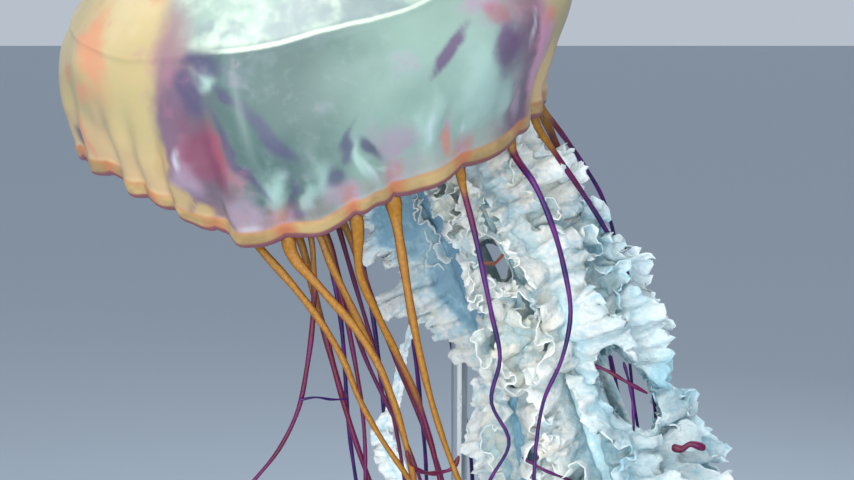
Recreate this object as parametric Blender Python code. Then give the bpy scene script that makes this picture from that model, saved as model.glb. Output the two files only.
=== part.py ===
"""A sea nettle jellyfish, life size, swimming, held up by a plain display stand.

Metres, +Z up, the animal seen from -Y. The bell leans a little to -X and towards -Y, and its
arms and tentacles trail down and towards +X. The origin is the middle of the stand's underside.
"""

import math

import bmesh
import bpy
import numpy as np
from mathutils import Matrix, Vector

# ---------------------------------------------------------------- driving dimensions, in metres

BELL_RADIUS = 0.147
BELL_HEIGHT = 0.116
BELL_SWEEP = math.radians(102)  # from the crown round to the margin, which turns under
CROWN_THICKNESS = 0.022
MARGIN_THICKNESS = 0.0065
BELL_LEAN_LEFT = math.radians(8)
BELL_LEAN_FORWARD = math.radians(14)
ANIMAL_AT = Vector((-0.090, -0.015, 0.780))  # the bell's centre, above the stand's underside

CORNER_AT = math.radians(-103)  # the bell squares up a little: this corner and three more
CORNER_REACH = 0.018  # share of the radius
CORNER_DROP = 0.017
TUCK = 0.026  # how far the +X side of the margin is pulled in
SIDE_TUCK = 0.008  # and its furthest part, some more
TUCK_LIFT = 0.010
SIDE_LIFT = 0.007
FAR_SIDE_LIFT = 0.018  # and how far the -X side is raised

TENTACLES = 24
LAPPET_DROP = 0.005
STEPS_PER_LAPPET = 3
CLEFT_AT = math.radians(-71)  # the bearing of the first tentacle's cleft, if all were even
CLEFT_SHIFTS = {0: -6, 1: -2, 2: 3, 3: 5, 4: 3}  # degrees that these are off the even spacing
TENTACLE_LENGTH = 0.66
ROOT_RADIUS = 0.0023
TIP_RADIUS = 0.0009
ROOT_DROP = 0.0030  # from the bottom of the notch
STUB = 0.005  # a tentacle sets out straight down from its cleft
NEAR_STEPS = 7  # short steps near the bell, then long ones down the trailing end
FAR_STEPS = 6
NEAR_LENGTH = 0.16
SWAY = 9.0  # degrees either way, in the trailing end

ARMS = 4
ARM_TURN = math.radians(45)  # the first arm's bearing about the arms' own axis
ARM_TWIST = math.radians(40)  # how far the four wind round each other
KEEL_HALF_WIDTH = 0.010
FRILL_SPREAD = math.radians(38)
FRILL_WAVE = 0.090
ARM_STATIONS = 29
ARM_SHARES = (-1.0, -0.62, -0.28, 0.28, 0.62, 1.0)  # across an arm, frill edge to frill edge
KEEL_SHARE = 0.28

BASE_RADIUS = 0.180
BASE_THICKNESS = 0.016
BASE_BEVEL = 0.003
ROD_RADIUS = 0.005
ROD_SIDES = 12
BASE_SIDES = 48
ROD_BEARING = math.radians(44)  # where it meets the bell's inner wall
ROD_ALONG = 0.54
ROD_BACK = 0.045  # its foot stands this much further back than its tip
JOINT_GAP = 0.0004  # between pieces that meet

# ---------------------------------------------------------------- small helpers


def smooth(low, high, x):
    """0 below low, 1 above high, and an S-curve between."""
    share = min(1.0, max(0.0, (x - low) / (high - low)))
    return share * share * (3 - 2 * share)


def through(points, share):
    """The place at this share, 0 to 1, of a Catmull-Rom curve through the points."""
    spans = len(points) - 1
    at = min(max(share, 0.0), 1.0) * spans
    i = min(int(at), spans - 1)
    t = at - i
    b, c = points[i], points[i + 1]
    a = points[i - 1] if i else b * 2 - c
    d = points[i + 2] if i + 2 <= spans else c * 2 - b
    return (
        b * 2
        + (c - a) * t
        + (a * 2 - b * 5 + c * 4 - d) * t * t
        + (b * 3 - a - c * 3 + d) * t**3
    ) * 0.5


def animal_matrix():
    """From the bell's own frame, crown up, to where the animal hangs."""
    turn = Matrix.Rotation(-BELL_LEAN_LEFT, 4, "Y") @ Matrix.Rotation(BELL_LEAN_FORWARD, 4, "X")
    return Matrix.Translation(ANIMAL_AT) @ turn


PLACED = animal_matrix()
BELL_DOWN = PLACED.to_3x3() @ Vector((0, 0, -1))


def material(name, colour, roughness, metallic=0.0, alpha=1.0):
    made = bpy.data.materials.new(name)
    made.use_nodes = True
    shader = made.node_tree.nodes["Principled BSDF"]
    shader.inputs["Base Color"].default_value = (*colour, 1.0)
    shader.inputs["Roughness"].default_value = roughness
    shader.inputs["Metallic"].default_value = metallic
    shader.inputs["Alpha"].default_value = alpha
    return made


def loft(name, sections, finish):
    """One closed body over rings of points, each ring joined to the next, with flat ends."""
    shape = bmesh.new()
    loops = []
    for section in sections:
        ring = bmesh.ops.create_circle(shape, segments=len(section), radius=1.0)["verts"]
        for vertex, place in zip(ring, section):
            vertex.co = place
        loops.append(list({edge for vertex in ring for edge in vertex.link_edges}))
    for upper, lower in zip(loops, loops[1:]):
        bmesh.ops.bridge_loops(shape, edges=upper + lower)
    for end in (loops[0], loops[-1]):
        bmesh.ops.edgeloop_fill(shape, edges=end)
    bmesh.ops.recalc_face_normals(shape, faces=shape.faces)
    mesh = bpy.data.meshes.new(name)
    shape.to_mesh(mesh)
    shape.free()
    mesh.materials.append(finish)
    mesh.shade_smooth()
    mesh.set_sharp_from_angle(angle=math.radians(60))
    body = bpy.data.objects.new(name, mesh)
    bpy.context.scene.collection.objects.link(body)
    return body


# ---------------------------------------------------------------- bell


def cleft_bearing(number):
    """Where this tentacle's cleft lies; a number between two gives a bearing between theirs."""
    shifts = [CLEFT_SHIFTS.get(i % TENTACLES, 0) for i in range(TENTACLES + 1)]
    shift = np.interp(number % TENTACLES, range(TENTACLES + 1), shifts)
    return CLEFT_AT + 2 * math.pi * number / TENTACLES + math.radians(shift)


NUMBERS = range(-2 * TENTACLES, 2 * TENTACLES)
CLEFTS = [cleft_bearing(number) for number in NUMBERS]


def bell_point(along, bearing):
    """On the outer surface, in the bell's frame: along is 0 at the crown and 1 at the margin."""
    sweep = along * BELL_SWEEP
    radius = BELL_RADIUS * math.sin(sweep) ** 0.8
    height = BELL_HEIGHT * math.cos(sweep)
    lower_half = smooth(0.45, 1.0, along)
    square = math.cos(4 * (bearing - CORNER_AT)) * lower_half
    side = 0.5 + 0.5 * math.cos(bearing)
    radius *= 1 + CORNER_REACH * square
    tuck = TUCK * (0.2 + 0.8 * side) + SIDE_TUCK * side**8
    radius -= tuck * smooth(0.6, 1.0, along)
    height -= CORNER_DROP * (1 - side) * (square if square > 0 else 0.4 * square)
    lift = TUCK_LIFT * side**3 + SIDE_LIFT * side**8 + FAR_SIDE_LIFT * (1 - side) ** 3
    height += lift * lower_half
    lobe = abs(math.sin(math.pi * np.interp(bearing, CLEFTS, NUMBERS))) ** 0.7
    height -= LAPPET_DROP * smooth(0.93, 1.0, along) * lobe
    return Vector((radius * math.cos(bearing), radius * math.sin(bearing), height))


def bell_thickness(along):
    """Thick jelly at the crown, thin walls, and a slightly swollen margin."""
    wall = MARGIN_THICKNESS * (1 - 0.35 * math.sin(math.pi * smooth(0.6, 1.0, along)))
    return wall + (CROWN_THICKNESS - MARGIN_THICKNESS) * (1 - smooth(0.0, 0.75, along))


def bell_inner_point(along, bearing):
    """On the inner surface, straight through the wall from bell_point."""
    outer = bell_point(along, bearing)
    sweep = along * BELL_SWEEP
    flat = Vector((math.cos(bearing), math.sin(bearing), 0))
    return outer - bell_thickness(along) * (flat * math.sin(sweep) + Vector((0, 0, math.cos(sweep))))


def bell_lip_point(bearing):
    """The lowest ring, which rounds the margin from the outside to the inside."""
    middle = (bell_point(1.0, bearing) + bell_inner_point(1.0, bearing)) / 2
    return middle - Vector((0, 0, 0.45 * MARGIN_THICKNESS))


def make_bell(finish):
    steps = TENTACLES * STEPS_PER_LAPPET
    bearings = [cleft_bearing(i / STEPS_PER_LAPPET) for i in range(steps)]
    outer = [0.03, 0.18, 0.36, 0.53, 0.68, 0.82, 0.93, 1.0]
    inner = [1.0, 0.90, 0.73, 0.54, 0.3, 0.04]
    rings = [[bell_point(along, b) for b in bearings] for along in outer]
    rings.append([bell_lip_point(b) for b in bearings])
    rings += [[bell_inner_point(along, b) for b in bearings] for along in inner]
    return loft("bell", [[PLACED @ p for p in ring] for ring in rings], finish)


# ---------------------------------------------------------------- mouth stalk and oral arms

STALK_TOP = 0.0885
STALK_FOOT = 0.046
STALK_SIDES = 16

# The line that the four arms hang round, from the bell's centre, and their spacing about it.
ARM_LINE = [
    PLACED @ Vector((0.0, 0.0, STALK_FOOT - 2 * JOINT_GAP)),
    PLACED @ Vector((0.0, 0.0, STALK_FOOT - 0.026)),
    ANIMAL_AT + Vector((0.062, -0.008, -0.044)),
    ANIMAL_AT + Vector((0.126, -0.006, -0.180)),
    ANIMAL_AT + Vector((0.168, 0.000, -0.380)),
    ANIMAL_AT + Vector((0.182, 0.004, -0.640)),
]
TRACE = np.array([through(ARM_LINE, i / 400) for i in range(401)])
TRACED = np.concatenate(([0.0], np.cumsum(np.linalg.norm(np.diff(TRACE, axis=0), axis=1))))
ARM_LENGTH = float(TRACED[-1])


def arm_place(share):
    """A point of the arms' shared line, by its share of the length."""
    return Vector([float(np.interp(share * ARM_LENGTH, TRACED, TRACE[:, i])) for i in range(3)])


def make_stalk(finish):
    """The four-cornered tube that hangs from the middle of the bell and ends in the mouth."""
    rings = []
    for share in (0.0, 0.15, 0.4, 0.7, 1.0):
        height = STALK_TOP + (STALK_FOOT - STALK_TOP) * share
        radius = 0.030 - 0.012 * math.sin(math.pi * 0.5 * min(1.0, share / 0.7)) + 0.004 * share
        ring = []
        for i in range(STALK_SIDES):
            bearing = 2 * math.pi * i / STALK_SIDES
            corner = 1 + 0.14 * math.cos(ARMS * (bearing - ARM_TURN)) * share
            ring.append(
                PLACED
                @ Vector(
                    (radius * corner * math.cos(bearing), radius * corner * math.sin(bearing), height)
                )
            )
        rings.append(ring)
    return loft("mouth_stalk", rings, finish)


def arm_axes(share):
    """The arms' shared line at this share of its length: place, and two directions across it."""
    place = arm_place(share)
    tangent = (arm_place(min(1.0, share + 0.01)) - arm_place(max(0.0, share - 0.01))).normalized()
    tangent = BELL_DOWN.lerp(tangent, smooth(0.0, 0.1, share)).normalized()
    toward = Vector((0, -1, 0))
    toward = (toward - tangent * toward.dot(tangent)).normalized()
    right = toward.cross(tangent).normalized()
    if right.x < 0:
        right = -right
    return place, right, toward


def arm_width(share):
    """Length of one frill, from the keel strip to its free edge."""
    near = 0.006 + 0.022 * smooth(0.06, 0.26, share)
    return near + 0.008 * smooth(0.28, 0.5, share) - 0.023 * smooth(0.6, 1.0, share)


def arm_section(number, share, at):
    """The closed outline of arm number across its length."""
    place, right, toward = arm_axes(share)
    bearing = ARM_TURN + 2 * math.pi * number / ARMS + ARM_TWIST * share
    outward = right * math.cos(bearing) + toward * math.sin(bearing)
    around = -right * math.sin(bearing) + toward * math.cos(bearing)
    spacing = 0.016 + 0.022 * smooth(0.1, 0.5, share) + 0.018 * smooth(0.35, 0.75, share)
    keel = place + outward * spacing
    strip = KEEL_HALF_WIDTH * (0.6 + 0.4 * smooth(0, 0.2, share) - 0.5 * smooth(0.5, 1, share))
    width = arm_width(share)
    front, back = [], []
    for s in ARM_SHARES:
        side = math.copysign(1.0, s)
        frill = max(0.0, (abs(s) - KEEL_SHARE) / (1 - KEEL_SHARE))
        along_wing = outward * math.cos(FRILL_SPREAD) + around * side * math.sin(FRILL_SPREAD)
        across_wing = around * side * math.cos(FRILL_SPREAD) - outward * math.sin(FRILL_SPREAD)
        wave = math.cos(2 * math.pi * at / FRILL_WAVE + 1.9 * number + 0.9 * side)
        reach = width * frill * (1 + 0.10 * math.cos(4 * math.pi * at / FRILL_WAVE + number))
        middle = keel + around * strip * min(1.0, abs(s) / KEEL_SHARE) * side
        middle += along_wing * reach
        ruffle = 0.28 * width * frill**1.2 * wave * smooth(0.05, 0.3, share)
        middle += across_wing * ruffle
        normal = outward if frill == 0 else (outward * 0.5 - across_wing * 0.9).normalized()
        half = 0.0032 - 0.0010 * frill - 0.0010 * smooth(0.5, 1.0, share)
        front.append(middle + normal * half)
        back.append(middle - normal * half)
    return front + back[::-1]


def make_arms(finish):
    shares = np.linspace(0.0, 1.0, ARM_STATIONS)
    middle = ARM_STATIONS // 2
    gap = JOINT_GAP / ARM_LENGTH
    for number in range(ARMS):
        sections = [arm_section(number, s, s * ARM_LENGTH) for s in shares]
        parted = shares[middle] + gap
        below = arm_section(number, parted, parted * ARM_LENGTH)
        name = f"oral_arm_{number + 1}"
        loft(f"{name}_upper", sections[: middle + 1], finish)
        loft(f"{name}_lower", [below, *sections[middle + 1 :]], finish)


# ---------------------------------------------------------------- tentacles

# How far a tentacle leans towards +X, in degrees, at these distances from its cleft. The named
# ones, counted from the cleft nearest the front corner's +X side, have their own course. The
# rest follow one rule.
LEAN_AT = (0.0, 0.04, 0.08, 0.10, 0.12, 0.14, 0.22, TENTACLE_LENGTH)
COURSES = {
    0: (9, 9, 13, 16, 19, 22, 20, 4),
    1: (15, 12, 11, -20, 45, -30, 8, 8),
    2: (37, 21, 8, -8, -27, -12, 14, 9),
    3: (30, 36, 30, 22, 14, 12, 8, 6),
    4: (34, 38, 32, 22, 12, 8, 8, 8),
    5: (22, 26, 20, 16, 14, 12, 10, 6),
    11: (26, 26, 20, 14, 10, 8, 10, 4),
    12: (34, 32, 22, 16, 12, 10, 10, 2),
    13: (46, 42, 26, 16, 12, 10, 6, 0),
    14: (16, 16, 16, 14, 10, 8, 4, 2),
    15: (20, 20, 22, 22, 20, 14, 4, -2),
    16: (15, 16, 25, 26, 22, 14, 2, 0),
    17: (14, 14, 15, 17, 19, 20, 4, -6),
    18: (17, 12, 8, 4, -1, -2, -4, -4),
    19: (9, -4, -12, -24, -38, -40, -20, 12),
    20: (22, 26, 22, 18, 12, 12, 8, -3),
    21: (43, 37, 22, 28, 34, 34, 20, 3),
    22: (38, 42, 22, 16, 12, 12, 12, 0),
    23: (-8, 26, 24, 18, 14, 12, 8, 2),
}
# Towards +Y in degrees over the first stretch: those of the +X side pass round the arms.
BACKWARD = {2: -38, 3: 22, 4: 105, 5: 76, 6: 46, 7: 34, 8: 14, 21: -5, 22: -9, 23: 14}
# Where those of the -X side, which first run across inside the margin, come out together: beside
# and behind the front corner, from the bell's centre.
GATES = {
    14: (0.004, -0.052, -0.066),
    15: (0.010, -0.066, -0.069),
    16: (0.001, -0.074, -0.072),
    17: (-0.012, -0.084, -0.073),
    18: (0.000, -0.088, -0.069),
    19: (-0.007, -0.096, -0.065),
    20: (-0.004, -0.104, -0.062),
    21: (-0.031, -0.105, -0.072),
}
INSET = 0.0085  # a gathered tentacle starts this far in from the lip, behind the wall


def default_course(number):
    """The leans of a tentacle that simply trails down and towards +X, each a little its own."""
    sway = [5 * math.sin(1.7 * i + 2.1 * number) for i in range(len(LEAN_AT))]
    return [17 - 12 * d / TENTACLE_LENGTH + w for d, w in zip(LEAN_AT, sway)]


def headed(start, leans, drift, away, phase):
    """Points down a line that leans as told, in short steps and then long ones."""
    far = (TENTACLE_LENGTH - NEAR_LENGTH) / FAR_STEPS
    steps = [NEAR_LENGTH / NEAR_STEPS] * NEAR_STEPS + [far] * FAR_STEPS
    place = start.copy()
    line = [place.copy()]
    gone = 0.0
    for step in steps:
        lean = float(np.interp(gone + step / 2, LEAN_AT, leans))
        gone += step
        loose = SWAY * smooth(0.15, 0.35, gone)
        lean = math.radians(lean + loose * math.sin(16 * gone + phase))
        back = drift * smooth(0.1, 0.3, gone) + away * max(0.0, 1 - gone / 0.14)
        back = math.radians(back + loose * math.cos(13 * gone + 1.3 * phase))
        heading = Vector((math.sin(lean), math.sin(back), -math.cos(lean))).normalized()
        place = place + heading * step
        line.append(place.copy())
    return line


def below_margin(number, inward, drop):
    """A place by this tentacle's notch in the margin, so far towards the axis and so far down."""
    bearing = cleft_bearing(number)
    flat = Vector((math.cos(bearing), math.sin(bearing), 0))
    return PLACED @ (bell_lip_point(bearing) - flat * inward - Vector((0, 0, drop)))


def tentacle_line(number):
    root = below_margin(number, 0.0, ROOT_DROP)
    stub = below_margin(number, 0.0, ROOT_DROP + STUB)
    leans = COURSES.get(number, default_course(number))
    bearing = cleft_bearing(number)
    drift = 5.0 * math.sin(bearing)
    away = BACKWARD.get(number, 0.0)
    if number not in GATES:
        return [root, *headed(stub, leans, drift, away, 0.6 * number)]
    gate = ANIMAL_AT + Vector(GATES[number])
    root = below_margin(number, INSET, -0.002)
    under = below_margin(number, 2 * INSET, 0.001)
    return [root, under, *headed(gate, leans, drift - 2.0, away, 0.6 * number)]


def tube(name, line, radii, finish):
    curve = bpy.data.curves.new(name, "CURVE")
    curve.dimensions = "3D"
    curve.bevel_depth = 1.0
    curve.bevel_resolution = 1
    curve.use_fill_caps = True
    spline = curve.splines.new("POLY")
    spline.points.add(len(line) - 1)
    for point, place, radius in zip(spline.points, line, radii):
        point.co = (*place, 1.0)
        point.radius = radius
    curve.materials.append(finish)
    body = bpy.data.objects.new(name, curve)
    bpy.context.scene.collection.objects.link(body)
    return body


def make_tentacles(finish):
    for number in range(TENTACLES):
        line = tentacle_line(number)
        gone = [0.0]
        for before, after in zip(line, line[1:]):
            gone.append(gone[-1] + (after - before).length)
        radii = [TIP_RADIUS + (ROOT_RADIUS - TIP_RADIUS) * (1 - g / gone[-1]) ** 2 for g in gone]
        middle = len(line) - FAR_STEPS + 1
        before = (line[middle] - line[middle - 1]).normalized()
        ahead = (line[middle + 1] - line[middle]).normalized()
        gap = JOINT_GAP + radii[middle] * before.cross(ahead).length
        name = f"tentacle_{number + 1:02d}"
        tube(f"{name}_upper", line[: middle + 1], radii[: middle + 1], finish)
        lower = [line[middle] + ahead * gap, *line[middle + 1 :]]
        tube(f"{name}_lower", lower, radii[middle:], finish)


# ---------------------------------------------------------------- stand


def make_base(finish):
    """A flat round plate, its upper edge bevelled."""
    profile = [
        (BASE_RADIUS, 0.0),
        (BASE_RADIUS, BASE_THICKNESS - BASE_BEVEL),
        (BASE_RADIUS - BASE_BEVEL, BASE_THICKNESS),
    ]
    rings = []
    for radius, height in profile:
        turns = [2 * math.pi * i / BASE_SIDES for i in range(BASE_SIDES)]
        rings.append([Vector((radius * math.cos(t), radius * math.sin(t), height)) for t in turns])
    return loft("stand_base", rings, finish)


def make_rod(finish):
    """A straight rod from the base up to the bell's inner wall, with a round tip."""
    along, bearing, hair = ROD_ALONG, ROD_BEARING, 0.01
    wall = bell_inner_point(along, bearing)
    down = bell_inner_point(along + hair, bearing) - bell_inner_point(along - hair, bearing)
    round_it = bell_inner_point(along, bearing + hair) - bell_inner_point(along, bearing - hair)
    inward = down.cross(round_it).normalized()
    if inward.z > 0:
        inward = -inward
    tip = PLACED @ (wall + inward * (ROD_RADIUS + 2 * JOINT_GAP))
    foot = Vector((tip.x, tip.y + ROD_BACK, BASE_THICKNESS + JOINT_GAP))
    up = (tip - foot).normalized()
    across = up.orthogonal().normalized()
    other = up.cross(across)
    stations = [(foot, ROD_RADIUS)]
    for turn in (0, 25, 50, 75):
        rise = math.sin(math.radians(turn)) * ROD_RADIUS
        stations.append((tip + up * rise, ROD_RADIUS * math.cos(math.radians(turn))))
    rings = []
    for place, radius in stations:
        ring = []
        for i in range(ROD_SIDES):
            turn = 2 * math.pi * i / ROD_SIDES
            ring.append(place + (across * math.cos(turn) + other * math.sin(turn)) * radius)
        rings.append(ring)
    rings[0] = [Vector((p.x, p.y, foot.z)) for p in rings[0]]
    return loft("stand_rod", rings, finish)


def main():
    for old in list(bpy.data.objects):
        bpy.data.objects.remove(old)
    jelly = material("amber_jelly", (0.80, 0.52, 0.24), 0.25, alpha=0.9)
    frill = material("white_frill", (0.80, 0.90, 0.93), 0.4)
    cord = material("tentacle_red", (0.62, 0.25, 0.06), 0.35)
    stand = material("stand_black", (0.03, 0.03, 0.035), 0.35)
    steel = material("stand_steel", (0.60, 0.61, 0.62), 0.25, metallic=1.0)
    make_bell(jelly)
    make_stalk(frill)
    make_arms(frill)
    make_tentacles(cord)
    make_base(stand)
    make_rod(steel)


main()
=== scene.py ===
# %% [markdown]
# # A sea nettle jellyfish on a display stand
# A sea nettle is a domed bell of clear jelly with a golden margin, four frilled arms that hang
# from its mouth, and twenty-four long tentacles. This lesson loads the solid model of the animal
# as a fixed frame and gives each part of it its fine surface, folds and finish.

import math

import bmesh
import bpy
import numpy as np
from mathutils import Matrix, Vector


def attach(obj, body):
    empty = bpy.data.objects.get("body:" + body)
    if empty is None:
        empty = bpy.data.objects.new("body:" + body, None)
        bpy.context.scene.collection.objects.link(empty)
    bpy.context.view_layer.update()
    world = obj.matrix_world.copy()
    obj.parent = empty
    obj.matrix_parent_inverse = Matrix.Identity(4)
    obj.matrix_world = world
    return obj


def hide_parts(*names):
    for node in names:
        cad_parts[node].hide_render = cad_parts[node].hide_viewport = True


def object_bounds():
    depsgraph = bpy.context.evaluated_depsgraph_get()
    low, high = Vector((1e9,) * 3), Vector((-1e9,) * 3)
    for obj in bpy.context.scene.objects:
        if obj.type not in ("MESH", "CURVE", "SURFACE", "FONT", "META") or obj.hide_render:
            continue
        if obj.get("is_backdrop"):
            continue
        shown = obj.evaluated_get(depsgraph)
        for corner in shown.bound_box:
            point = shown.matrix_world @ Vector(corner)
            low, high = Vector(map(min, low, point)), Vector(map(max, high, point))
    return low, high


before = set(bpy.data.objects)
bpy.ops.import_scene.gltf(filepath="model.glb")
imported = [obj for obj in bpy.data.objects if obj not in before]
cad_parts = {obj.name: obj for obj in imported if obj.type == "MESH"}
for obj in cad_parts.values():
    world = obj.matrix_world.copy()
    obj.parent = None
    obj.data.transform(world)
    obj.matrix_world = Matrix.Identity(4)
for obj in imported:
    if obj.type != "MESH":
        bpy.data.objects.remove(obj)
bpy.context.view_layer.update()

# %% [markdown]
# ## Making a surface from a grid
# Jelly, frills and tentacles are all sheets that curve and fold by a rule. Each one starts as
# Blender's flat grid, whose points are then moved to places worked out by two shares, one down
# the grid and one across it. The grid's own UV map stays with it, so a finish can follow the
# surface, and points that land together, as at a seam or a pole, are merged.

# %% Helpers for arrays of places
UP = np.array((0.0, 0.0, 1.0))
TO_VIEWER = np.array((0.0, -1.0, 0.0))
NO_LENGTH = 1e-18


def share_of(low, high, x):
    """0 at low, 1 at high, and an S-curve between, for numbers or arrays."""
    t = np.clip((x - low) / (high - low), 0.0, 1.0)
    return t * t * (3 - 2 * t)


def unit(vectors):
    """The vectors at a length of 1; one that has no length stays as it is."""
    return vectors / np.maximum(np.linalg.norm(vectors, axis=-1, keepdims=True), NO_LENGTH)


WAVES = unit(np.array([(1, 0.3, 0.6), (-0.4, 1, 0.5), (0.5, -0.7, 1), (-0.8, -0.4, 0.7)]))


def wobble(places, size, seed=0.0):
    """A smooth, aimless rise and fall between -1 and 1 over places, in waves of this size."""
    total = 0.0
    for i, wave in enumerate(WAVES):
        rise = (places @ wave) / size * (1 + 0.17 * i) + seed * (i + 1)
        total = total + np.sin(rise + 1.1 * total)
    return total / len(WAVES)


def shares(rows, columns):
    """Two arrays, one value for each point of a grid: the share down it and the share across."""
    return np.meshgrid(np.linspace(0, 1, rows + 1), np.linspace(0, 1, columns + 1), indexing="ij")


print("an S-curve in four steps:", share_of(0, 1, np.linspace(0, 1, 5)).round(2))

# %% A grid moved to its places


def settle(shape, mesh):
    """Writes a bmesh to a mesh, and lets go of it."""
    shape.to_mesh(mesh)
    shape.free()
    return mesh


def in_scene(name, data):
    """A new object of the scene, at its origin."""
    made = bpy.data.objects.new(name, data)
    bpy.context.scene.collection.objects.link(made)
    return made


def sheet(name, points, closed=True, **facts):
    """A grid whose points are moved to these places; facts are numbers kept at each point."""
    rows, columns = points.shape[0] - 1, points.shape[1] - 1
    shape = bmesh.new()
    shape.loops.layers.uv.new("OFBake")
    bmesh.ops.create_grid(shape, x_segments=columns, y_segments=rows, size=0.5, calc_uvs=True)
    mesh = settle(shape, bpy.data.meshes.new(name))
    flat = np.empty(len(mesh.vertices) * 3, np.float32)
    mesh.vertices.foreach_get("co", flat)
    flat = flat.reshape(-1, 3) + 0.5
    row = np.rint(flat[:, 1] * rows).astype(int)
    column = np.rint(flat[:, 0] * columns).astype(int)
    mesh.vertices.foreach_set("co", points[row, column].astype(np.float32).ravel())
    for fact, values in facts.items():
        layer = mesh.attributes.new(fact, "FLOAT", "POINT")
        layer.data.foreach_set("value", values[row, column].astype(np.float32))
    if closed:
        shape = bmesh.new()
        shape.from_mesh(mesh)
        bmesh.ops.remove_doubles(shape, verts=shape.verts, dist=1e-6)
        bmesh.ops.recalc_face_normals(shape, faces=shape.faces)
        settle(shape, mesh)
    mesh.shade_smooth()
    return in_scene(name, mesh)


def finish_piece(piece, finish, slot, *nodes):
    """Gives a piece its finish, lets it ride on the model and stand for these nodes."""
    piece.data.materials.clear()
    piece.data.materials.append(finish)
    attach(piece, "root")
    if nodes:
        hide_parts(*nodes)
    print(f"{piece.name}: {len(piece.data.polygons)} faces")


# %% [markdown]
# ## Shader maths as plain expressions
# A finish is easier to read as arithmetic than as a list of nodes. The class below holds one
# output of a node and turns + - * into Math nodes. The finish itself makes every other node.

# %% A number that runs through the shader


class Flow:
    """One output socket of a finish, which can be added, multiplied and so on."""

    def __init__(self, finish, socket):
        self.finish = finish
        self.socket = socket

    def maths(self, operation, *others, swap=False):
        terms = [self, *others]
        if swap:
            terms = terms[::-1]
        return self.finish.node("ShaderNodeMath", {"operation": operation}, dict(enumerate(terms)))

    def __add__(self, other):
        return self.maths("ADD", other)

    __radd__ = __add__

    def __mul__(self, other):
        return self.maths("MULTIPLY", other)

    __rmul__ = __mul__

    def __sub__(self, other):
        return self.maths("SUBTRACT", other)

    def __rsub__(self, other):
        return self.maths("SUBTRACT", other, swap=True)

    def step(self, low, high):
        """0 below low, 1 above high, and an S-curve between."""
        if low > high:
            return 1 - self.step(high, low)
        settings = {"interpolation_type": "SMOOTHSTEP", "clamp": True}
        values = {"Value": self, "From Min": low, "From Max": high}
        return self.finish.node("ShaderNodeMapRange", settings, values)


print("a flow takes + - * with a number or a flow on either side")

# %% A finish under construction


class Finish:
    """A material under construction."""

    def __init__(self, name):
        self.material = bpy.data.materials.new(name)
        self.material.use_nodes = True
        self.tree = self.material.node_tree
        self.shader = self.tree.nodes["Principled BSDF"]

    def node(self, kind, settings=None, values=None, output=0):
        made = self.tree.nodes.new(kind)
        for key, setting in (settings or {}).items():
            setattr(made, key, setting)
        for key, value in (values or {}).items():
            self.put(made.inputs[key], value)
        return Flow(self, made.outputs[output])

    def put(self, socket, value):
        if isinstance(value, Flow):
            self.tree.links.new(value.socket, socket)
        elif isinstance(value, tuple) and len(value) == 3 and socket.type == "RGBA":
            socket.default_value = (*value, 1.0)
        else:
            socket.default_value = value

    def place(self):
        return self.node("ShaderNodeTexCoord", output="Object")

    def fact(self, name):
        """A number stored at each point of the mesh."""
        return self.node("ShaderNodeAttribute", {"attribute_name": name}, output="Fac")

    def noise(self, at, scale, detail=2.0, rough=0.5):
        values = {"Vector": at, "Scale": scale, "Detail": detail, "Roughness": rough}
        return self.node("ShaderNodeTexNoise", {}, values)

    def cells(self, at, scale):
        values = {"Vector": at, "Scale": scale}
        return self.node("ShaderNodeTexVoronoi", {}, values, output="Distance")

    def mix(self, share, colour, other):
        """The first colour, with this share of the other one."""
        values = {0: share, 6: colour, 7: other}
        return self.node("ShaderNodeMix", {"data_type": "RGBA"}, values, output=2)

    def shade(self, **values):
        for key, value in values.items():
            self.put(self.shader.inputs[key.replace("_", " ")], value)
        return self.material

    def bump(self, height, strength, distance):
        values = {"Height": height, "Strength": strength, "Distance": distance}
        self.put(self.shader.inputs["Normal"], self.node("ShaderNodeBump", {}, values))

    def tell(self, what):
        print(f"{self.material.name}: {what}, {len(self.tree.nodes)} nodes so far")


# %% [markdown]
# ## Where the animal hangs
# The bell leans a little to the left and towards the viewer. All its parts are worked out in the
# bell's own frame, crown up, and one matrix takes them to their place above the stand. The
# sizes are those of the solid model.

# %% Pose of the bell
ANIMAL_AT = Vector((-0.090, -0.015, 0.780))
BELL_LEAN_LEFT = math.radians(8)
BELL_LEAN_FORWARD = math.radians(14)
LEAN = Matrix.Rotation(-BELL_LEAN_LEFT, 4, "Y") @ Matrix.Rotation(BELL_LEAN_FORWARD, 4, "X")
PLACED = Matrix.Translation(ANIMAL_AT) @ LEAN
TURN = np.array(LEAN.to_3x3())


def hung(points):
    """Points of the bell's frame, at their place above the stand."""
    return points @ TURN.T + np.array(ANIMAL_AT)


print("the middle of the bell's rim is at", [round(v, 3) for v in ANIMAL_AT])

# %% [markdown]
# ## The bell
# The bell is a dome of jelly, thick at the crown and thin at the margin, which turns under in
# thirty-two small flaps. Outside and inside are one closed skin: the grid runs from the crown
# down the outside, round the lip, and up the inside again.

# %% Clefts of the margin
TENTACLES = 24
CLEFT_AT = math.radians(-71)
CLEFT_SHIFTS = {0: -6, 1: -2, 2: 3, 3: 5, 4: 3}  # degrees from an even spacing


def cleft_bearing(number):
    """Where this tentacle's cleft lies; a number between two gives a bearing between theirs."""
    shifts = [CLEFT_SHIFTS.get(i % TENTACLES, 0) for i in range(TENTACLES + 1)]
    shift = np.interp(number % TENTACLES, range(TENTACLES + 1), shifts)
    return CLEFT_AT + 2 * math.pi * number / TENTACLES + np.radians(shift)


NUMBERS = np.arange(-2 * TENTACLES, 2 * TENTACLES)
CLEFTS = [float(cleft_bearing(number)) for number in NUMBERS]


def number_at(bearing):
    """Which cleft this bearing is by: a whole number at a cleft, a half midway to the next."""
    return np.interp(bearing, CLEFTS, NUMBERS)


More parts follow.
